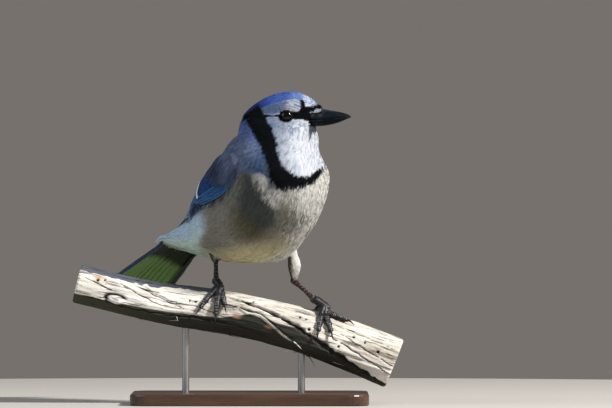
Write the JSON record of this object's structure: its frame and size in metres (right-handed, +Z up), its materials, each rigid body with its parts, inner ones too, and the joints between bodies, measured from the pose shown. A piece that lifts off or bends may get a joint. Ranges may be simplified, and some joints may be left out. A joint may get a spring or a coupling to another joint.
{
  "type": "perched blue jay display model",
  "caption": "Life-size blue jay gripping a short cut length of dry branch, breast and right side forward, head in profile, held over a flat base by rods.",
  "frame": {"origin": "the middle of the stand base's flat underside", "axes": "+Z up; the cut branch and the base's long side run along X, and the bill points nearly along +X; -Y is the side the breast is turned towards"},
  "size_m": [0.232, 0.1884, 0.2184],
  "materials": {
    "crown_blue": "soft blue feather",
    "mantle_blue": "soft grey-violet feather",
    "wing_blue": "firm bright blue feather",
    "breast_grey": "loose pale grey feather",
    "tail_olive": "firm feather seen from below",
    "beak_black": "smooth black horn, satin",
    "eye_brown": "wet near-black brown",
    "leg_black": "scaled black skin",
    "claw_black": "black horn",
    "dry_wood": "weathered, barkless, cracked",
    "stand_wood": "dark stain, satin",
    "stand_steel": "brushed"
  },
  "bodies": {
    "root": {"head": "crown_blue", "crest": "crown_blue", "neck": "mantle_blue", "trunk": "breast_grey", "beak_upper": "beak_black", "beak_lower": "beak_black", "eye_right": "eye_brown", "eye_left": "eye_brown", "wing_right": "wing_blue", "wing_left": "wing_blue", "tail": "tail_olive", "thigh_right": "breast_grey", "thigh_left": "breast_grey", "tarsus_right": "leg_black", "tarsus_left": "leg_black", "foot_right": "leg_black", "foot_left": "leg_black", "perch": "dry_wood", "perch_knot": "dry_wood", "stand_base": "stand_wood", "stand_rod_1": "stand_steel", "stand_rod_2": "stand_steel", "claw_right_1": "claw_black", "claw_right_2": "claw_black", "claw_right_3": "claw_black", "claw_right_4": "claw_black", "claw_left_1": "claw_black", "claw_left_2": "claw_black", "claw_left_3": "claw_black", "claw_left_4": "claw_black"}
  },
  "joints": []
}
